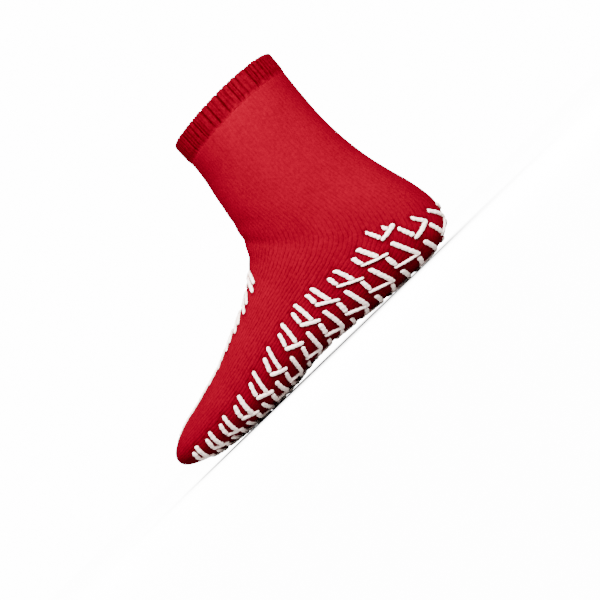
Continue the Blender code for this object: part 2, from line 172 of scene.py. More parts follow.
def section_outlines(courses: np.ndarray, angles: np.ndarray) -> np.ndarray:
    """Points on the sections at some courses.

    Each section is a closed curve of two superellipse halves. In the toe, before course 1, it also
    shrinks towards the pole like the end of an egg.

    Args:
        courses: Where the sections are cut.
        angles: Angles round a section, from 0 under the sole towards the inner side.

    Returns:
        An array of courses by angles by three, in metres.
    """
    in_toe = courses < 1.0
    turn = np.where(in_toe, courses, 1.0) * math.pi / 2.0
    place = np.where(in_toe, 1.0 - np.cos(turn), courses)
    scale = (np.sin(turn) ** CAP_POWER)[:, None]
    rows = {name: through_rows(column, place)[:, None] for name, column in rows_in_metres().items()}
    down = np.cos(angles)[None, :]
    side = np.sin(angles)[None, :]
    power = np.where(down > 0.0, rows["sole_power"], rows["top_power"])
    fall = np.abs(down) ** (2.0 / power)
    spread = np.abs(side) ** (2.0 / power)
    belly = rows["belly"]
    height = np.where(down > 0.0, belly * (1.0 - fall), belly + (1.0 - belly) * fall)
    half_width = np.where(side > 0.0, -rows["inner"], rows["outer"])
    reach = rows["sole_reach"] + (rows["top_reach"] - rows["sole_reach"]) * height
    rise = rows["sole_rise"] + (rows["top_rise"] - rows["sole_rise"]) * height
    across = half_width * spread + rows["crest"] * height
    pole_side = POLE_SIDE * BALL_WIDTH
    pole_rise = POLE_RISE * INSTEP_HEIGHT
    across = pole_side + (across - pole_side) * scale
    rise = np.where(in_toe[:, None], pole_rise + (rise - pole_rise) * scale, rise)
    reach = reach - rows["slant"] * (across - pole_side)
    return np.stack((FOOT_LENGTH / 2.0 - reach, across, rise), axis=-1)


@dataclass
class Knit:
    """The outer face of the tube as a fine grid of points and normals that can be read between."""

    steps_per_row: int = 16
    shares: int = 144
    samples: int = 96
    near_pole: float = 0.01
    courses: np.ndarray = field(init=False)
    points: np.ndarray = field(init=False)
    normals: np.ndarray = field(init=False)
    lengths: np.ndarray = field(init=False)
    girths: np.ndarray = field(init=False)

    def __post_init__(self) -> None:
        """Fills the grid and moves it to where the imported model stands."""
        self.courses = np.linspace(0.0, RIM_COURSE, int(RIM_COURSE * self.steps_per_row) + 1)
        self.courses[0] = self.courses[1] * self.near_pole
        half = self.even_half(np.linspace(0.0, math.pi, self.samples))
        other = self.even_half(np.linspace(math.pi, TURN, self.samples))
        self.points = np.concatenate((half[:, :-1], other), axis=1)
        self.points += self.offset_to_cad()
        along = np.gradient(self.points, axis=0)
        wrapped = np.concatenate((self.points[:, -2:-1], self.points, self.points[:, 1:2]), axis=1)
        normals = np.cross(along, wrapped[:, 2:] - wrapped[:, :-2])
        self.normals = normals / np.linalg.norm(normals, axis=2, keepdims=True)
        self.normals[0] = (-1.0, 0.0, 0.0)
        steps = np.linalg.norm(np.diff(self.points, axis=0), axis=2)
        start = np.zeros((1, self.shares + 1))
        self.lengths = np.concatenate((start, np.cumsum(steps, axis=0)))
        self.girths = np.linalg.norm(np.diff(self.points, axis=1), axis=2).sum(axis=1)

    def even_half(self, angles: np.ndarray) -> np.ndarray:
        """One half of each section with its points spaced evenly by length.

        Args:
            angles: The angles of that half.

        Returns:
            An array of courses by points by three.
        """
        dense = section_outlines(self.courses, angles)
        steps = np.linalg.norm(np.diff(dense, axis=1), axis=2)
        lengths = np.concatenate((np.zeros((len(dense), 1)), np.cumsum(steps, axis=1)), axis=1)
        wanted = np.linspace(0.0, 1.0, self.shares // 2 + 1)
        half = np.empty((len(dense), len(wanted), 3))
        for i, line in enumerate(dense):
            for axis in range(3):
                half[i, :, axis] = np.interp(wanted * lengths[i, -1], lengths[i], line[:, axis])
        return half

    def offset_to_cad(self) -> np.ndarray:
        """The shift from the table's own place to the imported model's, read off the cuff's box.

        Returns:
            The shift in metres.
        """
        low, high = (np.array(corner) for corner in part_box("ribbed_cuff"))
        ring = self.points[self.courses >= SEAM_COURSE].reshape(-1, 3)
        middle = (ring.min(axis=0) + ring.max(axis=0)) / 2.0
        shift = (low + high) / 2.0 - middle
        shift[2] = high[2] - SOCK_HEIGHT
        return shift

    def read(self, grid: np.ndarray, courses: np.ndarray, shares: np.ndarray) -> np.ndarray:
        """Values of a grid between its lines.

        Args:
            grid: Points or normals.
            courses: Places along the tube.
            shares: Places round the tube.

        Returns:
            The values there, straight between the four nearest ones.
        """
        row = np.interp(courses, self.courses, np.arange(len(self.courses)))
        column = (shares % 1.0) * self.shares
        i = np.clip(row.astype(int), 0, len(self.courses) - 2)
        j = np.clip(column.astype(int), 0, self.shares - 1)
        u = (row - i)[..., None]
        v = (column - j)[..., None]
        low = grid[i, j] * (1.0 - v) + grid[i, j + 1] * v
        high = grid[i + 1, j] * (1.0 - v) + grid[i + 1, j + 1] * v
        return low * (1.0 - u) + high * u

    def at(self, courses: np.ndarray, shares: np.ndarray, lift: np.ndarray | float) -> np.ndarray:
        """Points at a distance outside the knit, or inside it where lift is negative.

        Args:
            courses: Places along the tube.
            shares: Places round the tube.
            lift: Distance along the normal in metres.

        Returns:
            The points, with one more axis of three.
        """
        courses, shares = np.broadcast_arrays(np.asarray(courses, float), np.asarray(shares, float))
        normals = self.read(self.normals, courses, shares)
        normals = normals / np.linalg.norm(normals, axis=-1, keepdims=True)
        relief = self.relief(courses, shares) + np.asarray(lift)
        return self.read(self.points, courses, shares) + normals * relief[..., None]

    @staticmethod
    def relief(courses: np.ndarray, shares: np.ndarray) -> np.ndarray:
        """Soft troughs and ridges of the worn knit.

        Three shallow troughs cross the front of the ankle, where the knit is bunched. Each is a
        bell in the course times a wider bell round the tube. A slow swell keeps the leg from
        being a perfect tube.

        Args:
            courses: Places along the tube.
            shares: Places round the tube.

        Returns:
            The distance outwards in metres.
        """
        relief = np.zeros(np.broadcast(courses, shares).shape)
        round_top = shares % 1.0 - 0.5
        for course, width, middle, reach, depth in CREASES:
            bent = courses - course - CREASE_BEND * (round_top - middle) ** 2
            relief -= depth * np.exp(-(bent / width) ** 2 - ((round_top - middle) / reach) ** 2)
        on_leg = np.clip((courses - SWELL_FROM) / SWELL_OVER, 0.0, 1.0)
        swell = sum(np.sin(turn * shares + climb * courses) for turn, climb in SWELL_WAVES)
        return relief + SWELL_HEIGHT * on_leg * swell


# Creases: course, its width in courses, sideways place on top, reach round the tube, depth (m)
CREASES = (
    (9.6, 0.55, 0.01, 0.110, 0.00065),
    (11.6, 0.60, -0.02, 0.140, 0.00085),
    (13.8, 0.65, 0.015, 0.120, 0.00060),
)
CREASE_BEND = 9.0

# The leg's slow swell: the course where it starts, the courses over which it grows, its height
# in metres, and the radians of each of its waves once round the tube and over one course
SWELL_FROM = 13.0
SWELL_OVER = 4.0
SWELL_HEIGHT = 0.00022
SWELL_WAVES = ((18.9, 0.9), (12.6, -1.4))

# Points closer than this are one, in metres
WELD_REACH = 0.000001


def weld(mesh: bpy.types.Mesh) -> None:
    """Joins the points that coincide, as at a pole or a bar's tip, so that the shell is closed.

    Args:
        mesh: The mesh to close.
    """
    work = bmesh.new()
    work.from_mesh(mesh)
    bmesh.ops.remove_doubles(work, verts=work.verts, dist=WELD_REACH)
    work.to_mesh(mesh)
    work.free()


def in_scene(name: str, data: bpy.types.ID) -> bpy.types.Object:
    """A new object that holds the data, linked into the scene.

    Args:
        name: The object's name.
        data: Its mesh, light or camera.

    Returns:
        The object.
    """
    holder = bpy.data.objects.new(name, data)
    bpy.context.scene.collection.objects.link(holder)
    return holder


def set_out(name: str, mesh: bpy.types.Mesh, finish: bpy.types.Material) -> bpy.types.Object:
    """Puts a finished mesh in the scene as a piece of the sock.

    Args:
        name: The piece's name.
        mesh: Its mesh.
        finish: Its material.

    Returns:
        The linked object.
    """
    mesh.materials.append(finish)
    piece = in_scene(name, mesh)
    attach(piece, "root")
    return piece


def make_tube(name: str, grid: np.ndarray, wrap_rows: bool, finish: bpy.types.Material,
              climb: np.ndarray, values: dict[str, np.ndarray]) -> bpy.types.Object:
    """A smooth piece from grids of points whose columns close into rings.

    Args:
        name: The piece's name.
        grid: Rows by columns by three, in metres.
        wrap_rows: True where the last row joins the first.
        finish: The piece's material.
        climb: How far each row lies along the UV map, whose other way is the share round the
            tube. Where the rows wrap it has one value more.
        values: Names and rows-by-columns arrays that materials read as attributes.

    Returns:
        The linked object.
    """
    rows, columns = grid.shape[:2]
    first = np.arange(rows if wrap_rows else rows - 1)[:, None]
    across = np.arange(columns)[None, :]
    after = (first + 1) % rows
    beside = (across + 1) % columns
    corners = ((first, across), (after, across), (after, beside), (first, beside))
    faces = np.stack([(i * columns + j) for i, j in corners], axis=-1).reshape(-1, 4)
    flat = ((first, across), (first + 1, across), (first + 1, across + 1), (first, across + 1))
    round_tube = np.linspace(0.0, 1.0, columns + 1)
    uvs = np.stack(np.meshgrid(round_tube, climb), axis=-1)
    loops = np.stack([uvs[i, j] for i, j in flat], axis=-2).reshape(-1, 2)
    mesh = bpy.data.meshes.new(name)
    mesh.vertices.add(rows * columns)
    mesh.vertices.foreach_set("co", grid.reshape(-1).astype(np.float32))
    mesh.loops.add(faces.size)
    mesh.loops.foreach_set("vertex_index", faces.reshape(-1).astype(np.int32))
    mesh.polygons.add(len(faces))
    mesh.polygons.foreach_set("loop_start", np.arange(0, faces.size, 4, dtype=np.int32))
    layer = mesh.uv_layers.new(name="knit")
    layer.data.foreach_set("uv", loops.reshape(-1).astype(np.float32))
    for key, array in values.items():
        attribute = mesh.attributes.new(key, "FLOAT", "POINT")
        attribute.data.foreach_set("value", array.reshape(-1).astype(np.float32))
    mesh.update()
    weld(mesh)
    mesh.validate()
    mesh.shade_smooth()
    return set_out(name, mesh, finish)


@dataclass
class Wiring:
    """Adds shader nodes and links to one tree."""

    tree: bpy.types.NodeTree

    def add(self, kind: str, **settings: object) -> bpy.types.Node:
        """A new node with some of its properties set.

        Args:
            kind: The node's type.
            settings: Names and values of its properties.

        Returns:
            The node.
        """
        node = self.tree.nodes.new(kind)
        for key, value in settings.items():
            setattr(node, key, value)
        return node

    def set(self, socket: bpy.types.NodeSocket, value: object) -> None:
        """Puts a constant or a link into a socket.

        Args:
            socket: The socket that takes it.
            value: A number, a colour or another node's socket.
        """
        if isinstance(value, bpy.types.NodeSocket):
            self.tree.links.new(value, socket)
        else:
            socket.default_value = value

    def fill(self, node: bpy.types.Node, values: dict[str, object]) -> None:
        """Puts constants or links into a node's named sockets."""
        for name, value in values.items():
            self.set(node.inputs[name], value)

    def attribute(self, name: str) -> bpy.types.NodeSocket:
        """The value of one of the mesh's attributes."""
        return self.add("ShaderNodeAttribute", attribute_name=name).outputs["Fac"]

    def bump(self, strength: float, depth: float, values: dict[str, object]) -> bpy.types.NodeSocket:
        """The normal that a bump gives.

        Args:
            strength: How strongly it shows.
            depth: The height of a full step, in metres.
            values: The sockets that feed its height and, where another bump lies under it, normal.

        Returns:
            The normal socket.
        """
        node = self.add("ShaderNodeBump")
        self.fill(node, {"Strength": strength, "Distance": depth, **values})
        return node.outputs[0]

    def math(self, operation: str, *values: object) -> bpy.types.NodeSocket:
        """The result of a math node.

        Args:
            operation: The node's operation.
            values: Numbers or sockets.

        Returns:
            The node's value socket.
        """
        node = self.add("ShaderNodeMath", operation=operation)
        for socket, value in zip(node.inputs, values):
            self.set(socket, value)
        return node.outputs[0]

    def mix(self, factor: object, first: object, second: object) -> bpy.types.NodeSocket:
        """A mix of two colours.

        Args:
            factor: From 0 for the first colour to 1 for the second.
            first: A colour or a socket.
            second: A colour or a socket.

        Returns:
            The mixed colour.
        """
        node = self.add("ShaderNodeMix", data_type="RGBA")
        self.set(node.inputs[0], factor)
        self.set(node.inputs[6], first)
        self.set(node.inputs[7], second)
        return node.outputs[2]

    def scale(self, vector: object, by: Triple) -> bpy.types.NodeSocket:
        """A vector times another, part by part.

        Args:
            vector: A socket.
            by: The three factors.

        Returns:
            The vector socket.
        """
        node = self.add("ShaderNodeVectorMath", operation="MULTIPLY")
        self.set(node.inputs[0], vector)
        node.inputs[1].default_value = by
        return node.outputs[0]

    def noise(self, vector: object, scale: float, detail: float = 3.0) -> bpy.types.NodeSocket:
        """A noise from 0 to 1.

        Args:
            vector: The coordinates.
            scale: How many lumps there are to a unit.
            detail: How many finer noises are added.

        Returns:
            The factor socket.
        """
        node = self.add("ShaderNodeTexNoise")
        self.fill(node, {"Vector": vector, "Scale": scale, "Detail": detail})
        return node.outputs["Fac"]

    def span(self, value: object, low: float, high: float,
             to_low: float = 0.0, to_high: float = 1.0) -> bpy.types.NodeSocket:
        """A value's range moved to another, and held inside it.

        Args:
            value: A socket.
            low: The value that becomes to_low.
            high: The value that becomes to_high.
            to_low: The first end of the new range.
            to_high: Its other end.

        Returns:
            The result socket.
        """
        node = self.add("ShaderNodeMapRange")
        self.set(node.inputs[0], value)
        for socket, number in zip(node.inputs[1:5], (low, high, to_low, to_high)):
            socket.default_value = number
        return node.outputs[0]


def new_group(name: str, outputs: tuple[str, ...]) -> tuple:
    """An empty node group that reads coordinates and puts out numbers.

    Args:
        name: The group's name.
        outputs: The names of what it puts out.

    Returns:
        The wiring, the coordinates' socket and the group's output node.
    """
    tree = bpy.data.node_groups.new(name, "ShaderNodeTree")
    tree.interface.new_socket(name="Coordinates", in_out="INPUT", socket_type="NodeSocketVector")
    for key in outputs:
        tree.interface.new_socket(name=key, in_out="OUTPUT", socket_type="NodeSocketFloat")
    wiring = Wiring(tree)
    return wiring, wiring.add("NodeGroupInput").outputs["Coordinates"], wiring.add("NodeGroupOutput")


# The shared groups: how noise is stretched over wales and courses, and the yarn's lumps to a metre
WALE_WANDER = (0.30, 0.08, 1.0)
DASH_STRETCH = (0.9, 0.13, 1.0)
STITCH_SLOPE = 1.4
STITCH_SHARE = 0.30
GROOVE_FROM = 0.62
GROOVE_FULL = 0.97
BLOTCH_SCALE = 38.0
FLECK_SCALE = 520.0
FIBRE_SCALE = 2600.0


def stitch_group() -> bpy.types.NodeTree:
    """Wales of knit stitches on the knit's own coordinates.

    Each wale is a rounded ridge times V-shaped waves along it. The groove between two wales is
    broken by noise into uneven dashes.

    Returns:
        A group with wales and courses in, and height and groove out.
    """
    wiring, place, out = new_group("stitches", ("Height", "Groove"))
    parts = wiring.add("ShaderNodeSeparateXYZ")
    wiring.set(parts.inputs[0], place)
    wander = wiring.noise(wiring.scale(place, WALE_WANDER), 1.0, 2.0)
    shift = wiring.math("SUBTRACT", wander, 0.5)
    wale = wiring.math("FRACT", wiring.math("ADD", parts.outputs[0], shift))
    aside = wiring.math("ABSOLUTE", wiring.math("SUBTRACT", wale, 0.5))
    off_middle = wiring.math("MULTIPLY", aside, 2.0)
    hollow = wiring.math("SUBTRACT", 1.0, wiring.math("POWER", off_middle, 3.0))
    ridge = wiring.math("POWER", hollow, 0.7)
    leg = wiring.math("ABSOLUTE", wiring.math("SINE", wiring.math("MULTIPLY", off_middle, TURN)))
    along = wiring.math("SUBTRACT", parts.outputs[1], wiring.math("MULTIPLY", off_middle, STITCH_SLOPE))
    wave = wiring.span(wiring.math("COSINE", wiring.math("MULTIPLY", along, TURN)), -1.0, 1.0)
    stitch = wiring.math("MULTIPLY", leg, wave)
    fine = wiring.math("MULTIPLY_ADD", stitch, STITCH_SHARE, 1.0 - STITCH_SHARE)
    wiring.set(out.inputs["Height"], wiring.math("MULTIPLY", ridge, fine))
    dashes = wiring.noise(wiring.scale(place, DASH_STRETCH), 1.0)
    dash = wiring.span(dashes, 0.34, 0.60, 0.25, 1.0)
    line = wiring.math("POWER", wiring.span(off_middle, GROOVE_FROM, GROOVE_FULL), 1.5)
    wiring.set(out.inputs["Groove"], wiring.math("MULTIPLY", line, dash))
    return wiring.tree


def wool_group() -> bpy.types.NodeTree:
    """The uneven yarn: a slow blotch, a fine fleck and a fibre bump on the object's coordinates.

    Returns:
        A group with coordinates in, and blotch, fleck and fibre out.
    """
    wiring, place, out = new_group("wool", ("Blotch", "Fleck", "Fibre"))
    wiring.set(out.inputs["Blotch"], wiring.span(wiring.noise(place, BLOTCH_SCALE), 0.35, 0.65))
    wiring.set(out.inputs["Fleck"], wiring.span(wiring.noise(place, FLECK_SCALE), 0.36, 0.64))
    wiring.set(out.inputs["Fibre"], wiring.noise(place, FIBRE_SCALE, 2.0))
    return wiring.tree


def new_material(name: str) -> tuple[bpy.types.Material, Wiring, bpy.types.Node]:
    """A material with its wiring and its Principled shader.

    Args:
        name: The material's name.

    Returns:
        The material, the wiring and the shader.
    """
    material = bpy.data.materials.new(name)
    material.use_nodes = True
    shader = material.node_tree.nodes["Principled BSDF"]
    return material, Wiring(material.node_tree), shader


def use_group(wiring: Wiring, name: str, coordinates: object) -> bpy.types.Node:
    """A node that holds a shared group, with its coordinates linked.

    Args:
        wiring: The tree that gets it.
        name: The group's name.
        coordinates: The socket that it reads.

    Returns:
        The node.
    """
    node = wiring.add("ShaderNodeGroup", node_tree=bpy.data.node_groups[name])
    wiring.set(node.inputs["Coordinates"], coordinates)
    return node


@dataclass(frozen=True)
class KnitFinish:
    """Red plain knit, or the rib knit of the cuff."""

    name: str
    high: Colour
    low: Colour
    wales: float
    courses: float
    stitch_depth: float
    painted_groove_shade: float
    stitch_strength: float = 0.8
    fleck_shade: float = 0.24
    blotch_shade: float = 0.12
    fibre_strength: float = 0.35
    fibre_depth: float = 0.00012
    roughness: float = 0.9
    sheen: float = 0.02
    sheen_roughness: float = 0.4
    sheen_tint: Colour = (1.0, 0.02, 0.06, 1.0)

    def build(self) -> bpy.types.Material:
        """Makes the material.

        Returns:
            A material that reads the piece's own UV map and two attributes: shade, which darkens
            it, and wale, which says how clearly its wales show.
        """
        material, wiring, shader = new_material(self.name)
        uv = wiring.add("ShaderNodeUVMap", uv_map="knit")
        scaled = wiring.scale(uv.outputs[0], (self.wales, self.courses, 1.0))
        stitches = use_group(wiring, "stitches", scaled)
        wool = use_group(wiring, "wool", wiring.add("ShaderNodeTexCoord").outputs["Object"])
        clear = wiring.attribute("wale")
        # Painted shade: the grooves between wales are darkened in the colour, where shade falls between
        # stitches
        line = wiring.math("MULTIPLY", stitches.outputs["Groove"], clear)
        shade = wiring.math("MULTIPLY_ADD", line, self.painted_groove_shade, wiring.attribute("shade"))
        shade = wiring.math("MULTIPLY_ADD", wool.outputs["Fleck"], self.fleck_shade, shade)
        shade = wiring.math("MULTIPLY_ADD", wool.outputs["Blotch"], self.blotch_shade, shade)
        colour = wiring.mix(wiring.span(shade, 0.0, 1.0), self.high, self.low)
        fibre = wiring.bump(self.fibre_strength, self.fibre_depth, {"Height": wool.outputs["Fibre"]})
        height = wiring.math("MULTIPLY", stitches.outputs["Height"], clear)
        normal = wiring.bump(self.stitch_strength, self.stitch_depth, {"Height": height, "Normal": fibre})
        wiring.fill(shader, {
            "Base Color": colour, "Roughness": self.roughness, "Specular IOR Level": 0.0,
            "Sheen Weight": self.sheen, "Sheen Roughness": self.sheen_roughness,
            "Sheen Tint": self.sheen_tint, "Normal": normal,
        })
        return material


@dataclass(frozen=True)
class PrintFinish:
    """Matt off-white printed rubber with a pebbled skin, dark red along its edges: partly the red knit
    showing where it thins out, partly painted shade round each bar.
    """

    name: str
    top: Colour
    worn: Colour
    edge: Colour
    pebble_scale: float = 1300.0
    pebble_strength: float = 0.9
    pebble_depth: float = 0.00030
    patch_scale: float = 700.0
    patch_shade: float = 0.75
    rim_from: float = 0.80
    rim_shade: float = 0.55
    roughness: float = 0.62
    specular: float = 0.3

    def build(self) -> bpy.types.Material:
        """Makes the material.

        Returns:
            A material that reads the rim attribute of the bars.
        """
        material, wiring, shader = new_material(self.name)
        place = wiring.add("ShaderNodeTexCoord").outputs["Object"]
        pebble = wiring.noise(place, self.pebble_scale, 2.0)
        patch = wiring.span(wiring.noise(place, self.patch_scale), 0.44, 0.70)
        rim = wiring.attribute("rim")
        colour = wiring.mix(wiring.math("MULTIPLY", patch, self.patch_shade), self.top, self.worn)
        # The rims go dark red: partly the knit showing through the thinning print, partly painted shade
        # round each bar
        thin_and_shaded_rim = wiring.span(rim, self.rim_from, 1.0, 0.0, self.rim_shade)
        colour = wiring.mix(thin_and_shaded_rim, colour, self.edge)
        normal = wiring.bump(self.pebble_strength, self.pebble_depth, {"Height": pebble})
        wiring.fill(shader, {"Base Color": colour, "Roughness": self.roughness,
                             "Specular IOR Level": self.specular, "Normal": normal})
        return material


RED_KNIT = KnitFinish(name="red_knit", high=(0.102, 0.0001, 0.0052, 1.0), low=(0.029, 0.0002, 0.0014, 1.0),
                      wales=104.0, courses=380.0, stitch_depth=0.00040, painted_groove_shade=0.56)
RED_RIB = KnitFinish(name="red_rib", high=(0.102, 0.0001, 0.0052, 1.0), low=(0.019, 0.0002, 0.0008, 1.0),
                     wales=162.0, courses=16.0, stitch_depth=0.00030, painted_groove_shade=0.30)
GRIP = PrintFinish(name="grip_print", top=(1.0, 0.83, 0.76, 1.0), worn=(0.60, 0.44, 0.38, 1.0),
                   edge=(0.42, 0.10, 0.09, 1.0))


@dataclass(frozen=True)
class Waver:
    """A smooth random wave round the tube: a sum of sines with random phases.

    Its value is middle plus swing times a noise that keeps mostly between -1 and 1. The sines have
    from first to last waves round the tube, and peak is what their sum is divided by.
    """

    swing: float
    first: int
    last: int
    middle: float = 0.0
    peak: float = 1.6

    def values(self, shares: np.ndarray, rng: np.random.Generator) -> np.ndarray:
        """The wave at some places.

        Args:
            shares: Places round the tube.
            rng: The source of the phases.

        Returns:
            Its value at each of them.
        """
        counts = np.arange(self.first, self.last + 1)
        phases = rng.uniform(0.0, TURN, len(counts))
        waves = np.sin(TURN * shares[..., None] * counts + phases)
        noise = waves.sum(axis=-1) / math.sqrt(len(counts) / 2.0) / self.peak
        return self.middle + self.swing * noise


@dataclass
class SockBody:
    """The knitted tube: an outer and an inner skin that meet under the cuff."""

    wall: float = 0.0018
    shares: int = 216
    toe_rows: int = 26
    outer_rows: int = 300
    inner_rows: int = 70
    outer_tip: float = 0.01
    inner_tip: float = 0.02
    tuck: float = 0.16
    tuck_depth: float = 0.0007
    plain_from: float = 9.5
    plain_over: float = 6.0
    plain_share: float = 0.70
    # The painted shadow on the knit beside each bar: its strength, and its full width, fade and search
    # reach in metres
    bar_shadow_strength: float = 0.34
    bar_shadow_width: float = 0.0017
    bar_shadow_fade: float = 0.0011
    bar_shadow_reach: float = 0.006

    def painted_bar_shadow(self, knit: Knit, grid: np.ndarray, prints: tuple["GripPrint", ...]) -> np.ndarray:
        """A painted shadow beside each bar: the knit darkened in a rim round the bar, where its shade
        falls.

        It is a bell of the distance to the nearest bar's spine, worked out one ring at a time.

        Args:
            knit: The surface under the bars.
            grid: Rings of points of the tube.
            prints: The prints whose bars lie on it.

        Returns:
            A shade for each point of the grid.
        """
        steps = np.linspace(0.0, 1.0, 12)[:, None]
        spines = [knit.at(*each.place(knit, start + (end - start) * steps), 0.0)
                  for each in prints for start, end, _ in each.strokes()]
        spine = np.concatenate(spines)
        shade = np.zeros(grid.shape[:2])
        for i, ring in enumerate(grid):
            low, high = ring.min(axis=0) - self.bar_shadow_reach, ring.max(axis=0) + self.bar_shadow_reach
            close = spine[np.all((spine > low) & (spine < high), axis=1)]
            if len(close):
                away = np.linalg.norm(ring[:, None, :] - close[None, :, :], axis=2).min(axis=1)
                past = np.maximum(away - self.bar_shadow_width, 0.0)
                shade[i] = self.bar_shadow_strength * np.exp(-(past / self.bar_shadow_fade) ** 2)
        return shade

    def build(self, knit: Knit, prints: tuple["GripPrint", ...]) -> bpy.types.Object:
        """Makes the tube and dresses it.

        At the toe each skin ends in a ring drawn together to one point, so that it is closed.

        Args:
            knit: The surface that it follows.
            prints: The prints whose bars get a painted shadow on the knit beside them.

        Returns:
            The piece that stands for knit_body.
        """
        toe = np.append(self.outer_tip, np.linspace(self.outer_tip, 1.0, self.toe_rows)[:-1])
        top = SEAM_COURSE + self.tuck
        outer = np.linspace(1.0, top, self.outer_rows)
        inner = np.append(np.linspace(top, self.inner_tip, self.inner_rows), self.inner_tip)
        courses = np.concatenate((toe, outer, inner))
        tucked = np.clip(outer - SEAM_COURSE, 0.0, self.tuck) / self.tuck * -self.tuck_depth
        lifts = np.concatenate((np.zeros(len(toe)), tucked, np.full(len(inner), -self.wall)))
        shares = np.arange(self.shares) / self.shares
        grid = knit.at(courses[:, None], shares[None, :], lifts[:, None])
        grid[[0, -1]] = grid[[0, -1]].mean(axis=1, keepdims=True)
        lengths = np.interp(courses, knit.courses, knit.lengths.mean(axis=1))
        on_leg = np.clip((courses - self.plain_from) / self.plain_over, 0.0, 1.0)
        wale = np.repeat((1.0 - self.plain_share * on_leg)[:, None], self.shares, axis=1)
        shade = np.zeros_like(wale)
        skin = len(toe) + len(outer)
        # Painted shadow: the knit beside each bar is darkened in the colour
        shade[:skin] = self.painted_bar_shadow(knit, grid[:skin], prints)
        piece = make_tube("knitted_tube", grid, False, RED_KNIT.build(),
                          lengths / lengths.max(), {"wale": wale, "shade": shade})
        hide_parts("knit_body")
        return piece


@dataclass
class RibCuff:
    """The rib welt round the opening, with uneven ribs and a wavy lower edge."""

    wall: float = 0.0026
    ribs: int = 54
    rib_depth: float = 0.0011
    samples_per_rib: int = 12
    rise_rows: int = 22
    furrow_width: float = 0.145
    wander: Waver = Waver(0.0042, 5, 17)
    strength: Waver = Waver(0.30, 9, 40, middle=0.80)
    least_strength: float = 0.3
    between: Waver = Waver(0.45, 7, 33, middle=0.15)
    most_between: float = 0.6
    weak_share: float = 0.44
    weak_reach: float = 0.09
    weakened: float = 0.5
    edge: Waver = Waver(0.035, 3, 30)
    rim: Waver = Waver(0.012, 2, 9)
    rim_dip: float = 0.045
    tuck: float = 0.01
    lowest: float = -0.08
    fade: Waver = Waver(0.13, 20, 60, middle=0.30)
    bulge_over: float = 0.3
    ragged: Waver = Waver(0.05, 30, 90, middle=0.08)
    ragged_dip: float = 0.05
    ragged_over: float = 0.09
    bulge: float = 0.0009
    seat: float = 0.0002
    inside_show: float = 0.2
    body_shade: float = 0.30
    groove_shade: float = 0.52
    plain: float = 0.5

    def furrow(self, rib: np.ndarray) -> np.ndarray:
        """A narrow dip at every whole number: a bell of the distance to the nearest one."""
        return np.exp(-((rib - np.round(rib)) / self.furrow_width) ** 2)

    def build(self, knit: Knit, rng: np.random.Generator) -> bpy.types.Object:
        """Makes the cuff and dresses it.

        The profile runs up the outside, over the rounded rim and down the inside. Furrows part the
        ribs at places that noise shifts a little, with weaker ones between some of them. They fade
        out at the lower edge and on the inside.

        Args:
            knit: The surface that it follows.
            rng: The source of what is uneven.

        Returns:
            The piece that stands for ribbed_cuff.
        """
        count = self.ribs * self.samples_per_rib
        shares = np.arange(count) / count
        rib = self.ribs * (shares + self.wander.values(shares, rng))
        strength = np.clip(self.strength.values(shares, rng), self.least_strength, 1.0)
        between = np.clip(self.between.values(shares, rng), 0.0, self.most_between)
        groove = strength * self.furrow(rib) + between * self.furrow(rib + 0.5)
        groove *= 1.0 - self.weakened * np.exp(-((shares - self.weak_share) / self.weak_reach) ** 2)
        up = np.linspace(0.0, 1.0, self.rise_rows)
        turn = np.linspace(0.0, math.pi, 9)[1:-1]
        half_wall = self.wall / 2.0
        round_rise = half_wall * np.sin(turn) / CUFF_DEPTH
        round_lift = half_wall * (np.cos(turn) - 1.0)
        top = 1.0 - half_wall / CUFF_DEPTH
        rise = np.concatenate(((0.0,), up * top, top + round_rise, up[::-1] * top))[:, None]
        lift = np.concatenate(((-half_wall,), np.zeros(len(up)), round_lift,
                               np.full(len(up), -self.wall)))[:, None]
        over_rim = (1.0 + np.cos(turn)) / 2.0 * (1.0 - self.inside_show) + self.inside_show
        outside = np.concatenate(((1.0,), np.ones(len(up)), over_rim,
                                  np.full(len(up), self.inside_show)))[:, None]
        edge = self.edge.values(shares, rng)
        rim = self.rim.values(shares, rng) - self.rim_dip * groove
        offset = edge * (1.0 - rise) + rim * rise
        courses = SEAM_COURSE + np.clip(rise + offset - self.tuck, self.lowest, 1.0)
        show = np.clip(rise / self.fade.values(shares, rng), 0.0, 1.0) * outside
        relief = self.bulge * np.clip(rise / self.bulge_over, 0.0, 1.0) - self.seat
        relief = relief - self.rib_depth * groove * show
        grid = knit.at(courses, shares[None, :], lift + relief)
        ragged = self.ragged.values(shares, rng) - self.ragged_dip * groove
        shade = self.body_shade * np.clip((rise - ragged) / self.ragged_over, 0.0, 1.0)
        # Painted shade: each rib furrow is darkened in the colour
        shade = shade + self.groove_shade * groove * show
        values = {"shade": shade, "wale": np.full_like(shade, self.plain)}
        climb = np.append(rise, 0.0)
        piece = make_tube("rib_cuff", grid, True, RED_RIB.build(), climb, values)
        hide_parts("ribbed_cuff")
        return piece


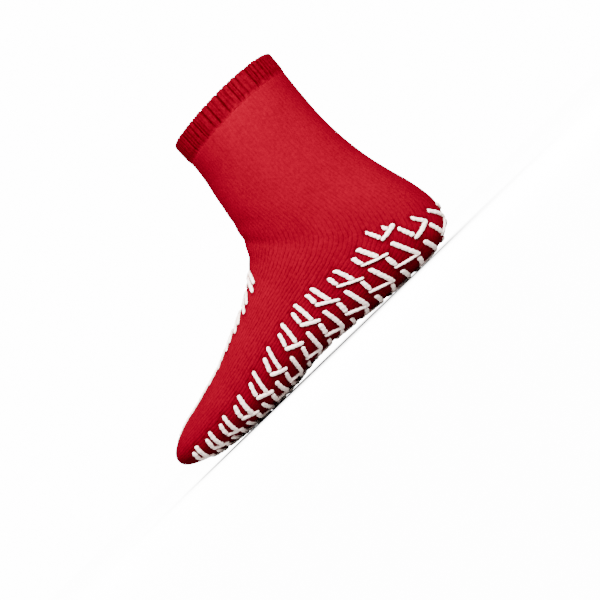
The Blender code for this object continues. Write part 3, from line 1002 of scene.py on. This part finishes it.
@dataclass
class GripPrint:
    """A print of raised bars in rows across the tube, each bar a rounded stroke of its own."""

    name: str
    nodes: str
    middle: float
    width: float
    first_row: float
    row_pitch: float
    rows: int
    last_row: float
    slant: float
    along_top: bool
    turn: float
    bar_height: float = 0.0013
    sunk: float = 0.0003
    shortest: float = 0.0030
    run_points: int = 30
    cap_points: int = 6
    cross_points: int = 11
    fine_wave: float = 0.00048
    coarse_wave: float = 0.00083
    phases: Pair = (0.0, 6.3)
    uneven_width: float = 0.075
    widths: Pair = (0.92, 1.07)
    uneven_height: float = 0.05
    heights: Pair = (0.90, 1.08)
    most_bend: float = 0.00035
    crown_power: float = 0.7
    dome_powers: Pair = (3.0, 2.2)
    nudge: float = 0.0005

    def place(self, knit: Knit, flat: np.ndarray) -> tuple[np.ndarray, np.ndarray]:
        """Courses and shares of flat points of the print.

        Args:
            knit: The surface.
            flat: Points (from the toe, across) in metres.

        Returns:
            The courses and the shares.
        """
        middle_line = knit.lengths[:, knit.shares // 2]
        lengths = middle_line if self.along_top else knit.lengths.mean(axis=1)
        courses = np.interp(flat[..., 0], lengths, knit.courses)
        girth = np.interp(courses, knit.courses, knit.girths)
        stretch = np.minimum(1.0, PRINT_STRETCH_LIMIT * PRINT_GIRTH / girth)
        return courses, self.middle - flat[..., 1] / PRINT_GIRTH * stretch

    def strokes(self) -> list[tuple[np.ndarray, np.ndarray, float]]:
        """The flat ends and width of every bar that is left after the print's edges have cut it.

        The last row's edge climbs on a slant: by the slant for each metre across.

        Returns:
            One start, end and width for each bar, in metres.
        """
        edge = self.width / 2.0
        end = self.first_row + (self.rows - 1 + self.last_row) * self.row_pitch
        limits = (((0.0, -1.0), edge), ((0.0, 1.0), edge),
                  ((1.0, -self.slant), end + self.slant * edge))
        found = []
        for row in range(self.rows):
            along = self.first_row + row * self.row_pitch
            for column in range(int(self.width / COLUMN_PITCH) + 1):
                across = (column + FIRST_COLUMN) * COLUMN_PITCH - edge
                for bar in EDGE_MOTIF if column == 0 else MOTIF:
                    ends = [np.array((along - self.turn * a * self.row_pitch,
                                      self.turn * (across + b * COLUMN_PITCH)))
                            for a, b in bar.value[:2]]
                    cut = self.cut(*ends, limits)
                    if cut:
                        found.append((*cut, bar.value[2]))
        return found

    def cut(self, start: np.ndarray, end: np.ndarray, limits: tuple) -> tuple | None:
        """A bar shortened to the print's edges.

        Args:
            start: One end of it.
            end: Its other end.
            limits: Each a direction and the furthest that a point may lie that way.

        Returns:
            The two ends, or None where its second end is cut off or too little is left.
        """
        for direction, furthest in limits:
            start_over = np.dot(start, direction) - furthest
            end_over = np.dot(end, direction) - furthest
            if end_over > 0.0:
                return None
            if start_over > 0.0:
                start = end + (start - end) * end_over / (end_over - start_over)
        if np.linalg.norm(end - start) < self.shortest:
            return None
        return start, end

    def bar_grid(self, knit: Knit, start: np.ndarray, end: np.ndarray, width: float,
                 rng: np.random.Generator) -> tuple[np.ndarray, np.ndarray]:
        """Points of one bar: a stroke with round ends and a loaf-shaped section.

        Args:
            knit: The surface under it.
            start: One flat end.
            end: Its other flat end.
            width: Its width in metres.
            rng: The source of its uneven width, height and line.

        Returns:
            Rows by columns by three, and how near each point is to the bar's rim.
        """
        probe = start + (end - start) * np.linspace(0.0, 1.0, 9)[:, None]
        length = np.linalg.norm(np.diff(knit.at(*self.place(knit, probe), 0.0), axis=0), axis=1).sum()
        radius = width / 2.0
        cap = (1.0 - np.cos(np.linspace(0.0, math.pi / 2.0, self.cap_points))) * radius
        along = np.concatenate((cap, np.linspace(radius, length - radius, self.run_points)[1:-1],
                                length - cap[::-1]))
        from_end = np.clip(np.minimum(along, length - along) / radius, 0.0, 1.0)
        taper = np.sqrt(1.0 - (1.0 - from_end) ** 2)
        wave = np.sin(along / self.fine_wave + rng.uniform(*self.phases))
        wave = wave + np.sin(along / self.coarse_wave + rng.uniform(*self.phases))
        half = radius * taper * (1.0 + self.uneven_width * wave) * rng.uniform(*self.widths)
        bend = self.most_bend * np.sin(math.pi * along / length) * rng.uniform(-1.0, 1.0)
        spine = start + (end - start) * (along / length)[:, None]
        here = knit.at(*self.place(knit, spine), 0.0)
        moved = [knit.at(*self.place(knit, spine + step), 0.0)
                 for step in ((self.nudge, 0.0), (0.0, self.nudge))]
        stretch = np.stack([np.linalg.norm(point - here, axis=1) for point in moved], axis=1) / self.nudge
        run = (end - start) * stretch
        side = np.stack((-run[:, 1], run[:, 0]), axis=1)
        side /= np.linalg.norm(run, axis=1)[:, None]
        across = np.sin(np.linspace(-math.pi / 2.0, math.pi / 2.0, self.cross_points))
        offset = half[:, None] * across[None, :] + bend[:, None]
        flat = spine[:, None, :] + side[:, None, :] / stretch[:, None, :] * offset[..., None]
        dome = (1.0 - np.abs(across) ** self.dome_powers[0]) ** (1.0 / self.dome_powers[1])
        crown = taper ** self.crown_power * (1.0 + self.uneven_height * wave[::-1])
        crown = crown * rng.uniform(*self.heights)
        lift = (self.bar_height + self.sunk) * crown[:, None] * dome[None, :] - self.sunk
        grid = knit.at(*self.place(knit, flat), lift)
        rim = np.maximum(np.abs(across)[None, :], (1.0 - from_end)[:, None])
        return grid, rim * np.ones_like(lift)

    def build(self, knit: Knit, rng: np.random.Generator, finish: bpy.types.Material,
              floor: float) -> bpy.types.Object:
        """Makes all bars of the print as one piece, each closed underneath where it sinks into the knit.

        Args:
            knit: The surface under it.
            rng: The source of what is uneven.
            finish: The print's material.
            floor: The height below which the bars are pressed flat.

        Returns:
            The piece that stands for all rows of this print.
        """
        points, rims, faces = [], [], []
        total = 0
        strokes = self.strokes()
        for start, end, width in strokes:
            grid, rim = self.bar_grid(knit, start, end, width, rng)
            rows, columns = grid.shape[:2]
            number = total + np.arange(rows * columns).reshape(rows, columns)
            number = np.concatenate((number, number[:, :1]), axis=1)
            quads = np.stack((number[:-1, :-1], number[:-1, 1:], number[1:, 1:], number[1:, :-1]), -1)
            points.append(grid.reshape(-1, 3))
            rims.append(rim.reshape(-1))
            faces.append(quads.reshape(-1, 4))
            total += rows * columns
        place = np.concatenate(points)
        place[:, 2] = np.maximum(place[:, 2], floor)
        corners = np.concatenate(faces)
        mesh = bpy.data.meshes.new(self.name)
        mesh.from_pydata(place.tolist(), [], corners.tolist())
        attribute = mesh.attributes.new("rim", "FLOAT", "POINT")
        attribute.data.foreach_set("value", np.concatenate(rims).astype(np.float32))
        mesh.update()
        weld(mesh)
        mesh.shade_smooth()
        piece = set_out(self.name, mesh, finish)
        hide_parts(*[f"{self.nodes}_{row:02d}" for row in range(1, self.rows + 1)])
        LOG.info("%s: %d bars, %d faces", self.name, len(strokes), len(corners))
        return piece


SOLE_PRINT = GripPrint(name="sole_print", nodes="sole_grip", middle=0.0, width=0.133, first_row=0.040,
                       row_pitch=0.0161, rows=12, last_row=0.32, slant=0.15, along_top=False, turn=1.0)
INSTEP_PRINT = GripPrint(name="instep_print", nodes="instep_grip", middle=0.5, width=0.054, first_row=0.028,
                         row_pitch=0.0137, rows=10, last_row=0.0, slant=0.0, along_top=True, turn=-1.0)


@dataclass(frozen=True)
class Lamp:
    """A square area light: its place and side in metres, its power in watts and its colour."""

    name: str
    place: Triple
    size: float
    power: float
    colour: Triple


LAMPS = (
    Lamp("key", (0.36, -0.42, 0.36), 0.22, 17.8, (1.0, 0.98, 0.96)),
    Lamp("front", (-0.08, -0.32, 0.44), 0.20, 7.2, (1.0, 1.0, 1.0)),
    Lamp("back", (0.0, 0.8, 0.8), 0.6, 17.5, (1.0, 1.0, 1.0)),
)


@dataclass
class Studio:
    """White paper, soft light mostly from the heel's side, and the camera at floor level."""

    azimuth: float = 15.0
    height: float = 0.014
    distance: float = 1.0
    lens: float = 85.0
    roll: float = 44.0
    aim: Triple = (0.011, -0.002, 0.043)
    ambient: float = 1.2
    backdrop: float = 15.0
    floor_reach: float = 30.0
    floor_tone: Colour = (0.22, 0.22, 0.22, 1.0)
    floor_glow: float = 14.0
    shade_reach: float = 0.12
    shade_power: float = 3.0

    def build(self) -> None:
        """Makes the world, the floor, the lights and the camera."""
        self.world()
        self.floor()
        for lamp in LAMPS:
            self.light(lamp)
        self.camera()

    def world(self) -> None:
        """A white backdrop that lights the sock less than it shows."""
        world = bpy.data.worlds.new("paper")
        bpy.context.scene.world = world
        world.use_nodes = True
        wiring = Wiring(world.node_tree)
        backdrop = world.node_tree.nodes["Background"]
        backdrop.inputs["Color"].default_value = (1.0, 1.0, 1.0, 1.0)
        seen = wiring.add("ShaderNodeLightPath").outputs["Is Camera Ray"]
        wiring.set(backdrop.inputs["Strength"], wiring.span(seen, 0.0, 1.0, self.ambient, self.backdrop))

    def floor(self) -> None:
        """A wide white floor that glows for the camera, with a painted shadow: its glow is dimmed where the
        sock stands close over it.
        """
        mesh = bpy.data.meshes.new("paper_floor")
        reach = self.floor_reach
        corners = [(-reach, -reach, 0.0), (reach, -reach, 0.0), (reach, reach, 0.0), (-reach, reach, 0.0)]
        mesh.from_pydata(corners, [], [(0, 1, 2, 3)])
        floor = in_scene("paper_floor", mesh)
        material, wiring, shader = new_material("paper_white")
        seen = wiring.add("ShaderNodeLightPath").outputs["Is Camera Ray"]
        # Painted shadow: the floor's glow is dimmed by ambient occlusion near the sock
        near = wiring.add("ShaderNodeAmbientOcclusion", samples=16)
        near.inputs["Distance"].default_value = self.shade_reach
        painted_shadow_factor = wiring.math("POWER", near.outputs["AO"], self.shade_power)
        glow = wiring.math("MULTIPLY", painted_shadow_factor, wiring.span(seen, 0.0, 1.0, 0.0, self.floor_glow))
        wiring.fill(shader, {
            "Base Color": self.floor_tone, "Roughness": 1.0, "Specular IOR Level": 0.0,
            "Emission Color": (1.0, 1.0, 1.0, 1.0), "Emission Strength": glow,
        })
        mesh.materials.append(material)

    def light(self, lamp: Lamp) -> None:
        """Hangs one light, pointed at the sock.

        Args:
            lamp: The light's place, size, power and colour.
        """
        light = bpy.data.lights.new(lamp.name, "AREA")
        light.size = lamp.size
        light.energy = lamp.power
        light.color = lamp.colour
        holder = in_scene(lamp.name, light)
        holder.location = lamp.place
        aim = Vector(self.aim) - Vector(lamp.place)
        holder.rotation_mode = "QUATERNION"
        holder.rotation_quaternion = aim.to_track_quat("-Z", "Y")

    def camera(self) -> None:
        """The camera: as low as the floor lets it be, and rolled as the photo is."""
        camera = bpy.data.cameras.new("camera")
        camera.lens = self.lens
        camera.sensor_width = 36.0
        camera.dof.use_dof = False
        camera.clip_start = 0.01
        camera.clip_end = 100.0
        holder = in_scene("camera", camera)
        turn = math.radians(self.azimuth)
        aim = Vector(self.aim)
        level = math.sqrt(self.distance ** 2 - (aim.z - self.height) ** 2)
        place = Vector((aim.x + math.sin(turn) * level, aim.y - math.cos(turn) * level, self.height))
        look = (aim - place).to_track_quat("-Z", "Y").to_matrix().to_4x4()
        roll = Matrix.Rotation(math.radians(-self.roll), 4, "Z")
        holder.matrix_world = Matrix.Translation(place) @ look @ roll
        bpy.context.scene.camera = holder


def main() -> None:
    """Builds every piece in order and reports each one."""
    logging.basicConfig(level=logging.INFO, format="%(message)s")
    rng = np.random.default_rng(SEED)
    knit = Knit()
    stitch_group()
    wool_group()
    grip = GRIP.build()
    pieces = [SockBody().build(knit, (SOLE_PRINT, INSTEP_PRINT)), RibCuff().build(knit, rng)]
    pieces.append(SOLE_PRINT.build(knit, rng, grip, 0.0))
    pieces.append(INSTEP_PRINT.build(knit, rng, grip, 0.0))
    Studio().build()
    for piece in pieces:
        LOG.info("%s: %d vertices", piece.name, len(piece.data.vertices))


if __name__ == "__main__":
    main()
